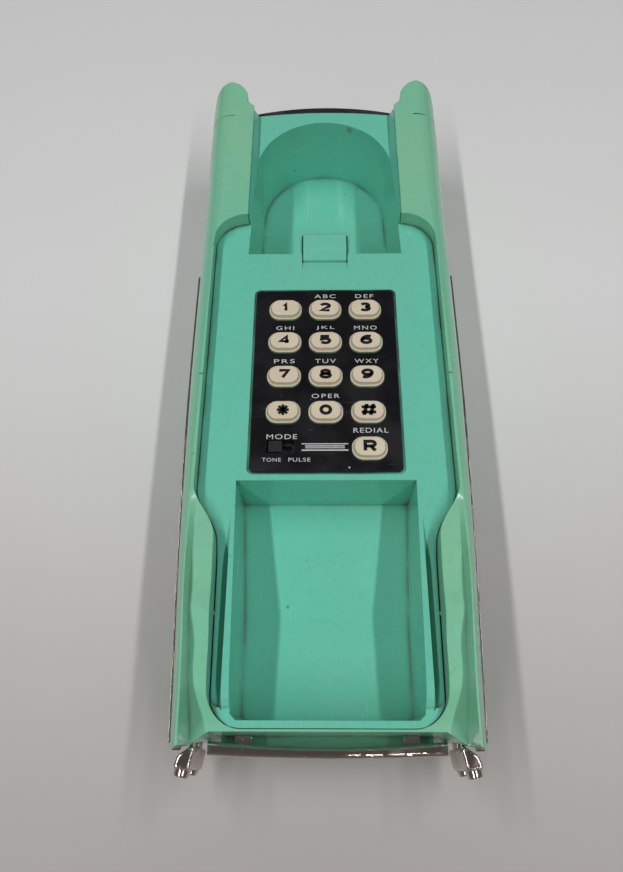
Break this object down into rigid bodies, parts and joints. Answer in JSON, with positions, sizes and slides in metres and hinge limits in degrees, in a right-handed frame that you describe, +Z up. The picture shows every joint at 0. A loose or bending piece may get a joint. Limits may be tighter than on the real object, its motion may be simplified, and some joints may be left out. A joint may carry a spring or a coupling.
{
  "type": "novelty car-shaped telephone base",
  "caption": "Desk telephone base shaped like a finned car, with keypad, hook button and two recesses that cradle the handset.",
  "frame": {"origin": "on the table under the middle of the base", "axes": "+Y to the car's front, +X to its right side, +Z up"},
  "size_m": [0.1144, 0.3216, 0.0618],
  "materials": {
    "body_plastic": "glossy moulded ABS, sea green",
    "tray_plastic": "satin moulded ABS, slightly bluer green",
    "base_plastic": "fine-textured black ABS",
    "face_plate": "glossy black with printed letter groups",
    "key_plastic": "ivory with black printed digits",
    "dark_plastic": "moulded black plastic",
    "grille_plastic": "dark front panel",
    "chromed_plastic": "vacuum-plated bright chrome",
    "clear_lens": "clear moulded lens",
    "red_lens": "translucent red lens",
    "tyre_rubber": "matt black",
    "white_rubber": "white side band",
    "foot_rubber": "matt rubber",
    "grey_rubber": "silicone key mat",
    "circuit_board": "phenolic board with components",
    "zinc_steel": "zinc-plated",
    "raw_steel": "plain sheet steel",
    "speaker_steel": "painted speaker basket and magnet",
    "cable_vinyl": "flat grey ribbon cable"
  },
  "bodies": {
    "base": {"body_shell": "body_plastic", "cradle_tray": "tray_plastic", "base_plate": "base_plastic", "keypad_plate": "face_plate", "key_mat": "grey_rubber", "keypad_board": "circuit_board", "keypad_screws": "zinc_steel", "mode_switch_body": "dark_plastic", "hook_spring": "zinc_steel", "hook_microswitch": "dark_plastic", "main_board": "circuit_board", "ribbon_cable": "cable_vinyl", "line_jack": "dark_plastic", "handset_jack": "dark_plastic", "ringer_switch_body": "dark_plastic", "ringer_speaker": "speaker_steel", "speaker_gasket": "foot_rubber", "ballast_rear": "raw_steel", "ballast_front": "raw_steel", "rubber_feet": "foot_rubber", "base_screws": "zinc_steel", "white_bands": "white_rubber", "wheel_screws": "zinc_steel", "grille": "grille_plastic", "front_bumper": "chromed_plastic", "rear_bumper": "chromed_plastic", "head_lamp_ring_left": "chromed_plastic", "head_lamp_lens_left": "clear_lens", "rear_pod_left": "chromed_plastic", "tail_lamp_left": "red_lens", "side_trim_left": "chromed_plastic", "tyre_front_left": "tyre_rubber", "hub_cap_front_left": "chromed_plastic", "tyre_rear_left": "tyre_rubber", "hub_cap_rear_left": "chromed_plastic", "head_lamp_ring_right": "chromed_plastic", "head_lamp_lens_right": "clear_lens", "rear_pod_right": "chromed_plastic", "tail_lamp_right": "red_lens", "side_trim_right": "chromed_plastic", "tyre_front_right": "tyre_rubber", "hub_cap_front_right": "chromed_plastic", "tyre_rear_right": "tyre_rubber", "hub_cap_rear_right": "chromed_plastic"},
    "key_1": {"key_1": "key_plastic"},
    "key_2": {"key_2": "key_plastic"},
    "key_3": {"key_3": "key_plastic"},
    "key_4": {"key_4": "key_plastic"},
    "key_5": {"key_5": "key_plastic"},
    "key_6": {"key_6": "key_plastic"},
    "key_7": {"key_7": "key_plastic"},
    "key_8": {"key_8": "key_plastic"},
    "key_9": {"key_9": "key_plastic"},
    "key_star": {"key_star": "key_plastic"},
    "key_0": {"key_0": "key_plastic"},
    "key_hash": {"key_hash": "key_plastic"},
    "key_redial": {"key_redial": "key_plastic"},
    "hook": {"hook_button": "tray_plastic"},
    "mode_knob": {"mode_knob": "dark_plastic"},
    "ringer_knob": {"ringer_knob": "dark_plastic"}
  },
  "joints": [
    {"name": "key_1_press", "type": "slide", "parent": "base", "child": "key_1", "axis": [0, 0, -1], "range_m": [0, 0.0015], "stiffness_N_per_m": 400},
    {"name": "key_2_press", "type": "slide", "parent": "base", "child": "key_2", "axis": [0, 0, -1], "range_m": [0, 0.0015], "stiffness_N_per_m": 400},
    {"name": "key_3_press", "type": "slide", "parent": "base", "child": "key_3", "axis": [0, 0, -1], "range_m": [0, 0.0015], "stiffness_N_per_m": 400},
    {"name": "key_4_press", "type": "slide", "parent": "base", "child": "key_4", "axis": [0, 0, -1], "range_m": [0, 0.0015], "stiffness_N_per_m": 400},
    {"name": "key_5_press", "type": "slide", "parent": "base", "child": "key_5", "axis": [0, 0, -1], "range_m": [0, 0.0015], "stiffness_N_per_m": 400},
    {"name": "key_6_press", "type": "slide", "parent": "base", "child": "key_6", "axis": [0, 0, -1], "range_m": [0, 0.0015], "stiffness_N_per_m": 400},
    {"name": "key_7_press", "type": "slide", "parent": "base", "child": "key_7", "axis": [0, 0, -1], "range_m": [0, 0.0015], "stiffness_N_per_m": 400},
    {"name": "key_8_press", "type": "slide", "parent": "base", "child": "key_8", "axis": [0, 0, -1], "range_m": [0, 0.0015], "stiffness_N_per_m": 400},
    {"name": "key_9_press", "type": "slide", "parent": "base", "child": "key_9", "axis": [0, 0, -1], "range_m": [0, 0.0015], "stiffness_N_per_m": 400},
    {"name": "key_star_press", "type": "slide", "parent": "base", "child": "key_star", "axis": [0, 0, -1], "range_m": [0, 0.0015], "stiffness_N_per_m": 400},
    {"name": "key_0_press", "type": "slide", "parent": "base", "child": "key_0", "axis": [0, 0, -1], "range_m": [0, 0.0015], "stiffness_N_per_m": 400},
    {"name": "key_hash_press", "type": "slide", "parent": "base", "child": "key_hash", "axis": [0, 0, -1], "range_m": [0, 0.0015], "stiffness_N_per_m": 400},
    {"name": "key_redial_press", "type": "slide", "parent": "base", "child": "key_redial", "axis": [0, 0, -1], "range_m": [0, 0.0015], "stiffness_N_per_m": 400},
    {"name": "hook_press", "type": "slide", "parent": "base", "child": "hook", "axis": [0, 0, -1], "range_m": [0, 0.0045], "stiffness_N_per_m": 250, "deforming": ["hook_spring"]},
    {"name": "mode_slide", "type": "slide", "parent": "base", "child": "mode_knob", "axis": [1, 0, 0], "range_m": [0, 0.004]},
    {"name": "ringer_slide", "type": "slide", "parent": "base", "child": "ringer_knob", "axis": [0, 1, 0], "range_m": [0, 0.004]}
  ]
}
